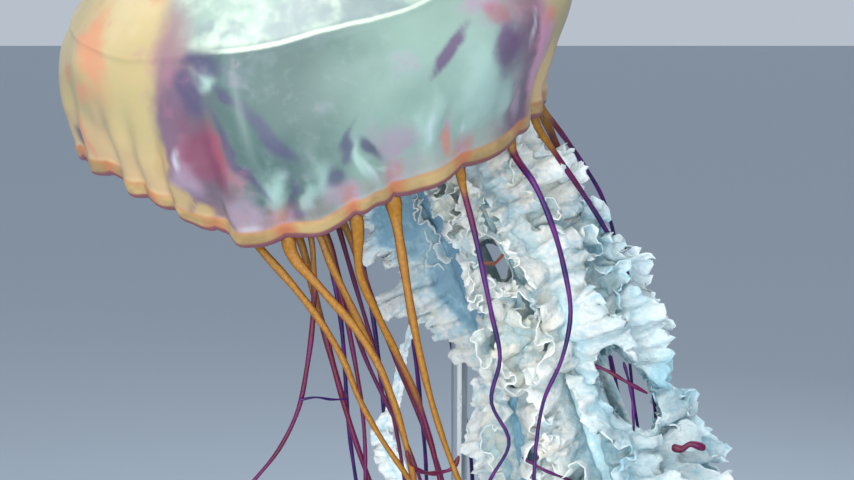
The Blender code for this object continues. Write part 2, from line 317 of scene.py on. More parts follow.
def by_organ(bearing):
    """1 at a sense organ, one in every third gap between tentacles, and 0 away from them."""
    third = (number_at(bearing) + 0.5) / 3
    return np.exp(-(((third - np.rint(third)) / 0.09) ** 2))


def ray(bearing):
    """The direction straight out from the axis at this bearing."""
    return np.stack([np.cos(bearing), np.sin(bearing), 0.0 * bearing], -1)


print("clefts at", [round(math.degrees(cleft_bearing(i)) % 360) for i in range(TENTACLES)])

# %% Shape of the bell
BELL_RADIUS = 0.147
BELL_HEIGHT = 0.116
BELL_SWEEP = math.radians(102)
CROWN_THICKNESS = 0.022
MARGIN_THICKNESS = 0.0065
LIP_DROP = 0.45 * MARGIN_THICKNESS
CORNER_AT = math.radians(-103)
CORNER_REACH = 0.018
CORNER_DROP = 0.017
TUCK = 0.026
SIDE_TUCK = 0.008
TUCK_LIFT = 0.010
SIDE_LIFT = 0.007
FAR_SIDE_LIFT = 0.018
LAPPET_DROP = 0.0038


def bell_outside(along, bearing):
    """On the outer surface: along is 0 at the crown and 1 at the margin."""
    sweep = along * BELL_SWEEP
    radius = BELL_RADIUS * np.sin(sweep) ** 0.8
    height = BELL_HEIGHT * np.cos(sweep)
    lower = share_of(0.45, 1.0, along)
    square = np.cos(4 * (bearing - CORNER_AT)) * lower
    side = 0.5 + 0.5 * np.cos(bearing)
    tuck = TUCK * (0.2 + 0.8 * side) + SIDE_TUCK * side**8
    radius = radius * (1 + CORNER_REACH * square) - tuck * share_of(0.6, 1.0, along)
    height = height - CORNER_DROP * (1 - side) * np.where(square > 0, square, 0.4 * square)
    lift = TUCK_LIFT * side**3 + SIDE_LIFT * side**8 + FAR_SIDE_LIFT * (1 - side) ** 3
    lobe = np.abs(np.sin(math.pi * number_at(bearing))) ** 0.7 * (1 - 0.7 * by_organ(bearing))
    height = height + lift * lower - LAPPET_DROP * share_of(0.93, 1.0, along) * lobe
    return radius[..., None] * ray(bearing) + height[..., None] * UP


def bell_out(along, bearing):
    """Roughly square to the surface."""
    sweep = (along * BELL_SWEEP)[..., None]
    return ray(bearing) * np.sin(sweep) + UP * np.cos(sweep)


def bell_thickness(along):
    wall = MARGIN_THICKNESS * (1 - 0.35 * np.sin(math.pi * share_of(0.6, 1.0, along)))
    return wall + (CROWN_THICKNESS - MARGIN_THICKNESS) * (1 - share_of(0.0, 0.75, along))


def bell_inside(along, bearing):
    within = bell_out(along, bearing) * bell_thickness(along)[..., None]
    return bell_outside(along, bearing) - within


def bell_lip(bearing):
    one = np.ones_like(bearing)
    middle = (bell_outside(one, bearing) + bell_inside(one, bearing)) / 2
    return middle - LIP_DROP * UP


print("jelly is", bell_thickness(np.array([0.0, 0.5, 1.0])).round(4), "m thick from crown to rim")

# %% [markdown]
# Living jelly is never a clean dome. The stomach's edge stands out as a raised ring half way
# down, the wall is pleated where it narrows to the margin, and a few deep folds cross the lower
# edge on the side where the tentacles are drawn together. Each is a small move in or out.

# %% Folds, pleats and swellings in the bell
# Where a fold starts at the margin, in degrees: how wide it is, in radians, and its depth in mm.
FOLDS = {
    -172: (0.07, 2.6), -158: (0.045, 1.8), -143: (0.045, 3.0), -134: (0.03, 2.2),
    -126: (0.026, 2.8), -114: (0.030, 3.4), -98: (0.04, 1.2), -70: (0.05, 0.9),
    -29: (0.035, 3.0), -12: (0.05, 1.6), 20: (0.06, 1.4), 58: (0.07, 1.8),
    97: (0.05, 2.0), 138: (0.06, 1.8),
}

# Patches on the bell: degrees round, share down, half width in degrees, half height as a share,
# and how many degrees it slants for each tenth further down. The animal's halves repeat them.
SWELLINGS = [
    (-119, 0.88, 4.5, 0.07, 1), (-36, 0.77, 5, 0.09, 0), (-93, 0.88, 5, 0.09, 0),
    (-68, 0.87, 3.5, 0.10, 0), (-54, 0.80, 7, 0.12, 0), (-108, 0.93, 3.5, 0.06, 0),
    (-82, 0.90, 3, 0.07, 0), (-150, 0.66, 5, 0.12, 0), (-102, 0.91, 3, 0.06, 0),
]


def patches(spots, along, bearing, stray):
    """1 in the middle of a patch, and 0 away from them all; their outlines stray."""
    places = ray(bearing) + along[..., None] * 1.3 * UP
    sideways = 0.050 * wobble(places, 0.065, 1) + 0.02 * wobble(places, 0.025, 4)
    downward = 0.022 * wobble(places, 0.055, 2) + 0.008 * wobble(places, 0.022, 3)
    bearing = bearing + stray * sideways
    along = along + stray * downward
    most = np.zeros_like(along)
    for degrees, level, wide, tall, slant in spots:
        below = along - level
        arc = np.degrees(bearing) - degrees - slant * below * 10
        arc = (arc + 90) % 180 - 90
        most = np.maximum(most, np.exp(-((arc / wide) ** 2) - (below / tall) ** 2))
    return most


def ring_at(bearing):
    """How far down the stomach's edge is: highest at the side, and a little wavy."""
    tilt = 0.50 + 0.09 * np.cos(bearing + math.radians(140))
    return tilt + 0.008 * np.sin(5 * bearing + 1) + 0.004 * np.sin(11 * bearing + 2)


def folds_of_bell(along, bearing):
    """Metres out from the plain dome."""
    ring = (along - ring_at(bearing)) / 0.009
    out = 1.0 * np.exp(-(ring**2)) - 0.9 * share_of(-1.0, 4.0, ring) * share_of(0.9, 0.7, along)
    pleats = np.abs(np.sin(math.pi * number_at(bearing)))
    out += 0.8 * share_of(0.78, 0.97, along) * (pleats - 0.6)
    out += 0.5 * share_of(0.55, 0.8, along) * np.cos(16 * bearing + 2.0 * np.sin(18 * along))
    out += 1.2 * share_of(0.962, 0.980, along)
    out += 1.1 * np.sin(3 * bearing + 9 * along) * np.sin(7 * along + 1)
    out += 0.5 * np.sin(9 * bearing - 13 * along + 1.4) * share_of(0.2, 0.6, along)
    out += 2.4 * patches(SWELLINGS, along, bearing, 0.5)
    for degrees, (width, depth) in FOLDS.items():
        start = math.radians(degrees) + 0.10 * (1 - along)
        arc = (bearing - start + math.pi) % (2 * math.pi) - math.pi
        beside = np.exp(-(((arc - 2 * width) / width) ** 2))
        crease = np.exp(-((arc / width) ** 2)) - 0.6 * beside
        out -= depth * crease * share_of(0.70, 0.93, along)
    return out / 1000


print(len(FOLDS), "folds and", len(SWELLINGS), "swellings")

# %% Colour patches on the bell
# Each colour's stray, the share of the common waviness that its outlines have, and its patches.
PATCHES = {
    "coral": (1.0, [
        (-145, 0.61, 7, 0.14, 3), (-151, 0.89, 1.8, 0.09, 3), (-131, 0.42, 6, 0.05, 0),
        (-32, 0.69, 2.5, 0.035, 0), (-62, 0.925, 1.3, 0.05, 0), (-20, 0.84, 2, 0.08, 0),
        (-157, 0.72, 3, 0.05, 0), (-146, 0.76, 3.5, 0.05, 0),
    ]),
    "crimson": (1.0, [(-114, 0.81, 6.0, 0.10, 2)]),
    "scarlet": (1.0, [(-110, 0.79, 2.0, 0.07, 4), (-48, 0.61, 4.0, 0.03, 0)]),
    "plum": (0.6, [(-62, 0.670, 2.6, 0.060, -8.7), (-45.5, 0.72, 5.5, 0.08, 0)]),
    "pink": (0.6, [(-33, 0.80, 3.4, 0.13, 0)]),
    "amber": (0.6, [
        (-124.5, 0.87, 3.0, 0.07, 0), (-121.5, 0.940, 3.0, 0.040, 0),
        (-117, 0.965, 3.0, 0.030, 0), (-112.5, 0.985, 3.0, 0.020, 0),
    ]),
    "vein": (0.1, [(-105, 0.70, 0.9, 0.10, 1)]),
    "violet": (1.0, [
        (-160, 0.945, 2.0, 0.045, 2), (-113, 0.590, 5, 0.024, 0), (-107.5, 0.67, 1.3, 0.05, 8),
        (-100, 0.76, 2.2, 0.08, 5), (-84.5, 0.83, 2.2, 0.05, 0), (-88, 0.885, 2.5, 0.03, 0),
        (-98, 0.93, 1.4, 0.05, 0), (-107, 0.80, 1.1, 0.12, 4), (-117, 0.66, 3.5, 0.07, 1),
        (-79, 0.86, 1.3, 0.03, 4), (-97, 0.955, 4, 0.012, 0),
    ]),
    "lilac": (1.0, [
        (-118, 0.88, 3.5, 0.06, 0), (-109, 0.93, 4.0, 0.05, 1), (-50, 0.57, 7, 0.03, 0),
        (-40, 0.90, 1.8, 0.05, 0), (-74, 0.86, 4.2, 0.05, 0), (-88, 0.93, 4.0, 0.03, 0),
        (-62, 0.89, 1.5, 0.05, 0),
    ]),
    "pale": (1.0, [
        (-102, 0.90, 2.6, 0.07, 0), (-94, 0.93, 1.8, 0.04, 0), (-81.5, 0.89, 1.3, 0.09, 2),
        (-77.5, 0.93, 1.3, 0.03, 9), (-68, 0.86, 3.0, 0.11, 0), (-54, 0.79, 8.0, 0.14, 0),
        (-113, 0.62, 2.5, 0.03, 0), (-90, 0.90, 4.0, 0.05, 0), (-46, 0.87, 4.0, 0.07, 0),
    ]),
    # The white patches are painted highlights, most of them on the swellings.
    "white": (0.4, [
        (-120, 0.84, 1.0, 0.035, 0), (-38, 0.70, 0.9, 0.05, -3), (-68, 0.87, 1.2, 0.06, 0),
        (-108, 0.965, 2.4, 0.02, 0), (-81, 0.91, 0.7, 0.05, 3), (-58, 0.90, 1.0, 0.03, 0),
    ]),
}
print("patches of", ", ".join(PATCHES))

# %% Points of the bell's skin
BELL_COLUMNS = 440
OUTER_ROWS = 143
LIP_ROWS = 10
INNER_ROWS = 52


def bell_skin_points():
    """Places, shares down the bell, bearings, and how far under: 0 outside, 1 inside."""
    bearings = np.linspace(0, TENTACLES, BELL_COLUMNS + 1)
    bearings = np.array([cleft_bearing(n) for n in bearings[:-1]])
    bearings = np.append(bearings, bearings[0] + 2 * math.pi)
    outside = 1 - (1 - np.linspace(0, 1, OUTER_ROWS + 1)) ** 1.15
    inside = np.linspace(1, 0, INNER_ROWS + 1)
    turn = np.linspace(0, math.pi, LIP_ROWS + 1)[1:-1]
    along, bearing = np.meshgrid(outside, bearings, indexing="ij")
    outer = bell_outside(along, bearing)
    outer += bell_out(along, bearing) * folds_of_bell(along, bearing)[..., None]
    along_in, bearing_in = np.meshgrid(inside, bearings, indexing="ij")
    inner = bell_inside(along_in, bearing_in)
    round_lip = turn[:, None, None]
    lip = (outer[-1] + inner[0]) / 2 + (outer[-1] - inner[0]) / 2 * np.cos(round_lip)
    lip = lip - LIP_DROP * UP * np.sin(round_lip)
    points = np.concatenate([outer, lip, inner])
    points[0, :, :2] = points[-1, :, :2] = 0.0
    on_lip = np.ones((len(turn), len(bearings)))
    along = np.concatenate([along, on_lip, along_in])
    bearing = np.concatenate([bearing, on_lip * bearings, bearing_in])
    under = np.concatenate([0 * outside, turn / math.pi, 1 + 0 * inside])[:, None]
    return points, along, bearing, under * np.ones_like(bearings)


points, along, bearing, under = bell_skin_points()
width = np.ptp(points[..., 0])
print(f"the bell is {width:.3f} m wide and {np.ptp(points[..., 2]):.3f} m high")

# %% Build the bell's skin
coloured = {}
for colour, (stray, spots) in PATCHES.items():
    coloured[colour] = patches(spots, along, bearing, stray)
bell_skin = sheet(
    "bell_skin",
    hung(points),
    along=along,
    ring=along - ring_at(bearing),
    under=under,
    bearing_x=np.cos(bearing),
    bearing_y=np.sin(bearing),
    gap=np.cos(2 * math.pi * number_at(bearing)),
    **coloured,
)
print("facts kept at each point of the skin:", len(bell_skin.data.attributes))

# %% [markdown]
# ## The bell's finish
# Wet jelly is smooth and glossy over soft colour. Seen through its thickest parts, the flanks,
# it is amber with patches of coral. The faces of the bell are a pale grey-green where the light
# comes through, the crown is milky white, and between them and the amber lie bands of pink and
# purple. The margin is a golden cord with a dark lower edge. The colours depend only on where a
# point is on the bell: each patch is soft, and noise makes its edge ragged.

# %% What the colours depend on
FACE = math.radians(-79)
# The bearing from which painted light falls through the faces.
PAINTED_LIGHT_BEARING = math.radians(-50)
jelly = Finish("amber_jelly")
at = jelly.place()
along = jelly.fact("along")
under = jelly.fact("under")
ring = jelly.fact("ring")
cos_b = jelly.fact("bearing_x")
sin_b = jelly.fact("bearing_y")
broad = jelly.noise(at, 16, 3, 0.55) - 0.5
middling = jelly.noise(at, 42, 3, 0.6) - 0.5
fine = jelly.noise(at, 160, 4, 0.65) - 0.5
ragged = middling * 0.8 + fine * 0.45
jelly.tell("facts and noise")

# %% Golden flanks, warmer and darker towards the margin
gold = jelly.mix(broad.step(-0.12, 0.14), (0.50, 0.40, 0.19), (0.62, 0.51, 0.29))
gold = jelly.mix(along.step(0.45, 0.75), gold, (0.44, 0.36, 0.18))
gold = jelly.mix((along + middling * 0.2).step(0.76, 0.95), gold, (0.52, 0.37, 0.20))
gold = jelly.mix(fine.step(0.0, 0.25) * 0.25, gold, (0.60, 0.36, 0.20))
jelly.tell("flanks")

# %% Pale faces with painted light: lighter on one side, darker and greener on the other
# Painted light: the faces are lighter towards that bearing and lower down, darker and greener
# away.
light = cos_b * math.cos(PAINTED_LIGHT_BEARING) + sin_b * math.sin(PAINTED_LIGHT_BEARING)
light = (light * light + broad * 0.4 + along * 0.5).step(0.85, 1.35)
green = jelly.mix(light, (0.080, 0.14, 0.13), (0.30, 0.43, 0.37))
green = jelly.mix(middling.step(0.0, 0.2) * 0.25, green, (0.30, 0.36, 0.44))
green = jelly.mix(fine.step(0.02, 0.25) * 0.07, green, (0.50, 0.62, 0.58))
jelly.tell("faces")

# %% Between them, rose turning to dusky mauve
toward = cos_b * math.cos(FACE) + sin_b * math.sin(FACE)
faced = toward * toward + broad * 0.16 + middling * 0.12
mauve = jelly.mix((along + broad * 0.2).step(0.52, 0.72), (0.31, 0.20, 0.21), (0.17, 0.11, 0.16))
mauve = jelly.mix(middling.step(0.02, 0.2) * 0.6, mauve, (0.36, 0.16, 0.22))
colour = jelly.mix(faced.step(0.45, 0.54), gold, mauve)
colour = jelly.mix(faced.step(0.58, 0.80), colour, green)
jelly.tell("the band between")

# %% [markdown]
# Pouches and folds show through the jelly as soft patches; the white ones are painted highlights.
# Each colour has its own fact on the skin, 1 in the middle of its patches. A step with a wide
# S-curve keeps their edges soft, and later patches lie over earlier ones.

# %% Soft patches, the paler ones first


def patch(name, low, high):
    """Where a patch shows: its edge, from low to high, is made ragged."""
    return (jelly.fact(name) + ragged * 0.9).step(low, high)


colour = jelly.mix(patch("pale", 0.15, 0.95) * 0.70, colour, (0.40, 0.57, 0.52))
colour = jelly.mix(patch("lilac", 0.10, 0.90) * 0.70, colour, (0.40, 0.30, 0.39))
colour = jelly.mix(patch("violet", 0.10, 0.90) * 0.80, colour, (0.075, 0.07, 0.14))
colour = jelly.mix(patch("plum", 0.15, 0.75) * 0.80, colour, (0.13, 0.055, 0.16))
colour = jelly.mix(patch("pink", 0.05, 0.60) * 0.90, colour, (0.60, 0.30, 0.42))
colour = jelly.mix(patch("crimson", 0.05, 0.95) * 0.88, colour, (0.18, 0.04, 0.085))
colour = jelly.mix(patch("scarlet", 0.10, 1.00) * 0.50, colour, (0.40, 0.07, 0.12))
colour = jelly.mix(patch("coral", 0.15, 0.90) * 0.75, colour, (0.62, 0.25, 0.15))
colour = jelly.mix(jelly.fact("vein") * 0.22, colour, (0.50, 0.58, 0.55))
# Painted highlights: the white patches.
colour = jelly.mix(patch("white", 0.20, 1.10) * 0.50, colour, (0.62, 0.68, 0.72))

# Amber reaches along the lower edge of the flank, and there is rose between the pouches.
reach = (jelly.fact("amber") + ragged * 0.25).step(0.25, 0.75)
colour = jelly.mix(reach, colour, (0.46, 0.33, 0.16))
low = (along + ragged * 0.06).step(0.90, 0.95) * faced.step(0.60, 0.75)
rose = jelly.mix(fine.step(-0.1, 0.15), (0.46, 0.22, 0.20), (0.42, 0.27, 0.34))
colour = jelly.mix(low * (0.25 + jelly.fact("gap").step(0.2, 1.0) * 0.6), colour, rose)
jelly.tell("patches")

# %% [markdown]
# The stomach fills the crown with milky jelly down to a slightly wavy edge, pale in itself and
# bright with a painted highlight along its raised ring. The margin is a cord of its own colour.
# Both follow the share down the bell, so they meet the folds.

# %% The crown, milky over the faces, and the stomach's pale edge with its painted highlight
milk = jelly.mix(middling.step(-0.14, 0.12), (0.32, 0.43, 0.38), (0.53, 0.64, 0.53))
milk = jelly.mix((broad - middling * 0.6).step(0.08, 0.2) * 0.6, milk, (0.24, 0.28, 0.31))
crown = (ring + middling * 0.02).step(0.012, -0.020)
crown = crown * (faced + 0.7 - along * 1.1).step(0.62, 0.86)
colour = jelly.mix(crown, colour, milk)
# The stomach's edge: a pale line, with a painted highlight along the raised ring.
line = (ring + fine * 0.006).step(-0.009, -0.002) * (ring + fine * 0.006).step(0.007, 0.001)
colour = jelly.mix(line * faced.step(0.72, 0.86) * 0.9, colour, (0.62, 0.72, 0.60))
jelly.tell("crown")

# %% The golden margin, red where tentacles root, its dark lower edge, and the inside
edge = (along + fine * 0.004).step(0.966, 0.974)
cord = jelly.mix(middling.step(-0.12, 0.1), (0.34, 0.22, 0.09), (0.48, 0.34, 0.15))
rooted = (jelly.fact("gap") + middling * 2.5).step(0.2, 1.3)
cord = jelly.mix(rooted * 0.85, cord, (0.48, 0.13, 0.06))
cord = jelly.mix(along.step(0.980, 0.968) * 0.6, cord, (0.46, 0.17, 0.08))
cord = jelly.mix(along.step(0.992, 1.0), cord, (0.20, 0.07, 0.08))
colour = jelly.mix(edge, colour, cord)
colour = jelly.mix(under.step(0.10, 0.28), colour, (0.17, 0.03, 0.10))
inner = jelly.mix(broad.step(-0.1, 0.1), (0.40, 0.30, 0.22), (0.50, 0.46, 0.40))
colour = jelly.mix(under.step(0.6, 0.95), colour, inner)
jelly.tell("margin and inside")

# %% Paint the bell
jelly.bump(jelly.cells(at, 900) * 0.3 + fine * 1.2 + middling * 2.0, 0.12, 0.0008)
jelly.shade(
    Base_Color=colour,
    Roughness=0.38 + fine * 0.15,
    Subsurface_Weight=0.3,
    Subsurface_Radius=(0.9, 0.6, 0.45),
    Subsurface_Scale=0.004,
    Coat_Weight=0.25,
    Coat_Roughness=0.22,
    IOR=1.36,
)
finish_piece(bell_skin, jelly.material, "bell_jelly", "bell")

# %% [markdown]
# ## Sense organs
# In eight of the notches between the flaps sits a tiny sense organ, a pale bead no bigger than
# a grain of sand in life. They are joined into one piece.

# %% Beads in the notches
SENSE_ORGANS = 8
BEAD_RADIUS = 0.0013
BEAD_LIFT = 0.0006


def sense_organs():
    shape = bmesh.new()
    for i in range(SENSE_ORGANS):
        middle = bell_lip(np.array(cleft_bearing(3 * i - 0.5))) + BEAD_LIFT * UP
        spot = Matrix.Translation(Vector(hung(middle)))
        bmesh.ops.create_icosphere(shape, subdivisions=3, radius=BEAD_RADIUS, matrix=spot)
    mesh = settle(shape, bpy.data.meshes.new("sense_organs"))
    mesh.shade_smooth()
    return in_scene("sense_organs", mesh)


bead = Finish("pale_bead")
bead_colour = bead.mix(bead.noise(bead.place(), 900), (0.75, 0.66, 0.50), (0.85, 0.80, 0.70))
finish_piece(sense_organs(), bead.shade(Base_Color=bead_colour, Roughness=0.3), "bell_jelly")

# %% [markdown]
# ## Lines to follow
# Arms and tentacles follow soft lines through a few places. For the arms it is one shared line,
# read by length, with two directions across it.

# %% The arms' shared line
STALK_TOP = 0.0885
STALK_FOOT = 0.046
JOINT_GAP = 0.0004


def through(points, share):
    """The place at this share of a Catmull-Rom curve through the points."""
    spans = len(points) - 1
    at = min(max(share, 0.0), 1.0) * spans
    i = min(int(at), spans - 1)
    t = at - i
    b, c = points[i], points[i + 1]
    a = points[i - 1] if i else b * 2 - c
    d = points[i + 2] if i + 2 <= spans else c * 2 - b
    bend = (a * 2 - b * 5 + c * 4 - d) * t * t + (b * 3 - a - c * 3 + d) * t**3
    return (b * 2 + (c - a) * t + bend) * 0.5


ARM_LINE = [
    PLACED @ Vector((0.0, 0.0, STALK_FOOT - 2 * JOINT_GAP)),
    PLACED @ Vector((0.0, 0.0, STALK_FOOT - 0.026)),
    ANIMAL_AT + Vector((0.062, -0.008, -0.044)),
    ANIMAL_AT + Vector((0.126, -0.006, -0.180)),
    ANIMAL_AT + Vector((0.168, 0.000, -0.380)),
    ANIMAL_AT + Vector((0.182, 0.004, -0.640)),
]
TRACE_STEPS = 400
TRACE = np.array([through(ARM_LINE, i / TRACE_STEPS) for i in range(TRACE_STEPS + 1)])
TRACED = np.concatenate(([0.0], np.cumsum(np.linalg.norm(np.diff(TRACE, axis=0), axis=1))))
ARM_LENGTH = float(TRACED[-1])


def arm_place(share):
    at = np.clip(share, 0, 1) * ARM_LENGTH
    return np.stack([np.interp(at, TRACED, TRACE[:, i]) for i in range(3)], -1)


def arm_axes(share):
    """Place on the arms' line, the way right, and the way towards the viewer."""
    tangent = unit(arm_place(share + 0.01) - arm_place(share - 0.01))
    blend = share_of(0.0, 0.1, share)[..., None]
    tangent = unit(TURN @ -UP * (1 - blend) + tangent * blend)
    toward = unit(TO_VIEWER + tangent * tangent[..., 1:2])
    right = np.cross(toward, tangent)
    right = np.where(right[..., :1] < 0, -right, right)
    return arm_place(share), right, toward


print(f"arms {ARM_LENGTH:.3f} m long")

# %% [markdown]
# ## Oral arms
# Each arm is a smooth midrib with thin frills down both sides. The frills grow faster than the
# midrib, so they buckle, and the folds buckle again: waves on waves, finest at the free edge.
# Four sizes of wave, each growing towards the edge, give that look. The waves also rock along
# the arm, so that the larger folds curl over as real ones do.

# %% Shape of one arm
ARMS = 4
ARM_TURN = math.radians(45)
ARM_TWIST = math.radians(40)
KEEL_HALF_WIDTH = 0.010
KEEL_ROWS = 260
KEEL_COLUMNS = 16


def arm_width(share):
    near = 0.006 + 0.022 * share_of(0.06, 0.26, share)
    return near + 0.008 * share_of(0.28, 0.5, share) - 0.023 * share_of(0.6, 1.0, share)


def arm_spacing(share):
    return 0.016 + 0.022 * share_of(0.1, 0.5, share) + 0.018 * share_of(0.35, 0.75, share)


def keel_half_width(share):
    grown = 0.6 + 0.4 * share_of(0, 0.2, share) - 0.5 * share_of(0.5, 1, share)
    return KEEL_HALF_WIDTH * grown


def arm_frame(number, share):
    """The midrib's middle, the way out from the shared line, and the way round it."""
    place, right, toward = arm_axes(share)
    bearing = (ARM_TURN + 2 * math.pi * number / ARMS + ARM_TWIST * share)[..., None]
    outward = right * np.cos(bearing) + toward * np.sin(bearing)
    around = toward * np.cos(bearing) - right * np.sin(bearing)
    return place + outward * arm_spacing(share)[..., None], outward, around


def keel_points(number):
    share, across = shares(KEEL_ROWS, KEEL_COLUMNS)
    middle, outward, around = arm_frame(number, share)
    ends = np.sqrt(np.clip(1 - (2 * share - 1) ** 40, 0, 1))
    turn = 2 * math.pi * across
    wide = keel_half_width(share) * 1.1 * ends
    thick = (0.0030 - 0.0016 * share_of(0.3, 1.0, share)) * ends
    thick = thick + 0.0005 * np.sin(share * ARM_LENGTH / 0.007 + number) * ends
    points = middle + around * (wide * np.cos(turn))[..., None]
    return points + outward * (thick * np.sin(turn))[..., None]


print("an arm's half width is", arm_width(np.linspace(0, 1, 5)).round(3), "m from top to tip")

# %% [markdown]
# Frills leave the midrib at several angles: two wide wings on its outer side, two narrower
# ones square to it, two on its inner side, and, where the arm is fullest, two more from its
# face. Each is a plain strip first. Then it is folded three times over, every time square to
# the surface that the last folds made, so that the small folds ride on the large ones.

# %% The kinds of frill
# Its angle from straight out, in degrees; how far it curls over, in radians; its reach as a
# share of the arm's width; where it starts as a share of the midrib's half width; and the phase
# of its folds.
FRILLS = {
    "wing": {"angle": 38, "curl": 0.7, "reach": 1.0, "start": 0.9, "phase": 0.0},
    "side": {"angle": 84, "curl": 0.5, "reach": 0.85, "start": 1.0, "phase": 2.3},
    "inner": {"angle": 132, "curl": 0.4, "reach": 0.70, "start": 0.9, "phase": 4.1},
    "face": {"angle": 0, "curl": 1.7, "reach": 0.85, "start": -0.35, "phase": 1.2},
}
FRILL_WAVE = 0.090
FRILL_ROWS = 800
FRILL_COLUMNS = 14
FRILL_THICKNESS = 0.0005
SMOOTH_ARM = 1  # the arm whose midrib stays bare near the bell
# Arm and side: how far down it is, and how much wider than the common run its frills are there.
SHAPED = {
    (0, -1): (
        (0.08, 1.1), (0.14, 0.6), (0.18, 1.1), (0.28, 1.3), (0.36, 1.1), (0.42, 1.2), (0.6, 1.0)
    ),
    (1, 1): ((0.05, 1.6), (0.15, 1.9), (0.22, 1.5), (0.26, 0.9), (0.305, 0.45), (0.55, 1.0)),
    (2, -1): ((0.05, 1.4), (0.12, 0.8), (0.25, 0.6), (0.30, 0.45), (0.40, 0.5), (0.55, 1.0)),
    (3, 1): ((0.08, 1.4), (0.15, 1.6), (0.22, 1.3), (0.28, 1.35), (0.36, 1.1), (0.6, 1.0)),
}


def frill_shares():
    """The shares down and across a frill, whose rows are closest near the bell."""
    share, across = shares(FRILL_ROWS, FRILL_COLUMNS)
    return share * (0.55 + 0.45 * share), across


print(len(FRILLS), "kinds of frill:", ", ".join(FRILLS))

# %% Folds that ride on folds


def folded(points, height, phase, lean):
    """Points moved square to their surface in a wave, which also leans to and fro along it."""
    downward = np.gradient(points, axis=0)
    square = unit(np.cross(downward, np.gradient(points, axis=1)))
    shift = square * (height * np.sin(phase))[..., None]
    return points + shift - unit(downward) * (lean * np.sin(2 * phase))[..., None]


# %% [markdown]
# Old frills are torn. Two gaps run right through the bunch, so that one can see out behind it.
# Each is an oblique, ragged tunnel: faces in it are taken out, and the torn edge is smoothed.

# %% Gaps worn through the frills
# The middle, in mm from the animal's; how far right and up the gap runs for each mm back; half
# its length and width in mm; its lean in degrees.
GAPS = [
    ((158.5, -30, -161), (0.122, -0.23), 25.0, 11.5, 29),
    ((85.5, -60, -85.5), (0.04, -0.15), 13.0, 6.8, 32),
]
TORN_EDGE_PASSES = 5


def in_gaps(places):
    found = np.zeros(len(places), bool)
    for middle, (right, up), length, width, lean in GAPS:
        beside = (places - np.array(ANIMAL_AT)) * 1000 - middle
        x = beside[:, 0] - right * beside[:, 1]
        z = beside[:, 2] - up * beside[:, 1]
        lean = math.radians(lean)
        down = (x * math.sin(lean) - z * math.cos(lean)) / length
        over = (x * math.cos(lean) + z * math.sin(lean)) / width
        found |= down**2 + over**2 < 1 + 0.5 * wobble(places, 0.004, 7)
    return found


def wear_gaps(piece):
    """Takes out the faces that lie in a gap, smooths the torn edge, and counts the faces."""
    middles = np.empty(len(piece.data.polygons) * 3)
    piece.data.polygons.foreach_get("center", middles)
    worn = in_gaps(middles.reshape(-1, 3))
    shape = bmesh.new()
    shape.from_mesh(piece.data)
    lost = [face for face, gone in zip(shape.faces, worn) if gone]
    count = len(lost)
    torn = {point for face in lost for point in face.verts}
    bmesh.ops.delete(shape, geom=lost, context="FACES")
    torn = [point for point in torn if point.is_valid]
    axes = {"use_axis_x": True, "use_axis_y": True, "use_axis_z": True}
    for _ in range(TORN_EDGE_PASSES if torn else 0):
        bmesh.ops.smooth_vert(shape, verts=torn, factor=0.5, **axes)
    settle(shape, piece.data)
    return count


print(len(GAPS), "gaps")

# %% The plain strip of a frill


def frill_width(number, side, kind, share):
    """How far the frill reaches out."""
    width = arm_width(share) * FRILLS[kind]["reach"] + 0.004 * share_of(0.06, 0.14, share)
    if (number, side) in SHAPED and kind != "inner":
        width = width * np.interp(share, *zip(*SHAPED[number, side]))
    if kind == "face":
        start = 0.25 if number == SMOOTH_ARM else 0.03
        width = width * share_of(start, start + 0.06, share)
    return width


def ragged_outline(number, seed, at, across):
    """The free edge's tears, as a share of the frill's width."""
    outline = 1 + 0.10 * np.cos(4 * math.pi * at / FRILL_WAVE + number)
    outline += across**2 * (0.10 * np.sin(at / 0.0071 + seed) + 0.07 * np.sin(at / 0.0027 + seed))
    outline += 0.05 * across**4 * np.abs(np.sin(at / 0.00125 + seed))
    return outline


def plain_strip(number, side, kind, seed, share, across, width):
    """The unfolded frill, the way from its root to its edge, and the way square to it."""
    frill = FRILLS[kind]
    middle, outward, around = arm_frame(number, share)
    at = share * ARM_LENGTH
    start_angle = np.radians(frill["angle"] + 9 * np.sin(at / 0.055 + 2.2 * seed))
    curl = frill["curl"] + 0.35 * np.sin(at / 0.019 + 1.3 * seed)
    angle = (start_angle + curl * across)[..., None]
    start_angle, curl = start_angle[..., None], curl[..., None]
    along = outward * np.cos(angle) + around * side * np.sin(angle)
    square = around * side * np.cos(angle) - outward * np.sin(angle)
    reach = outward * (np.sin(angle) - np.sin(start_angle)) / curl
    reach = reach + around * side * (np.cos(start_angle) - np.cos(angle)) / curl
    root = around * (side * keel_half_width(share) * frill["start"])[..., None]
    return middle + root + reach * width[..., None], along, square


print("the widest frill reaches", round(arm_width(0.5) + 0.004, 3), "m")

# %% The folds of a frill


def calm(number, side, kind):
    """1 where the smooth arm's near frill is a clear, unfolded membrane, and 0 elsewhere.

    A milky flap at its outer side is folded as the rest of the frills are.
    """
    share, across = frill_shares()
    if (number, side, kind) != (SMOOTH_ARM, 1, "wing"):
        return 0 * share
    flap = share_of(0.198, 0.212, share) * share_of(0.20, 0.36, across)
    return share_of(0.30, 0.24, share) * share_of(0.92, 0.65, across) * (1 - 0.85 * flap)


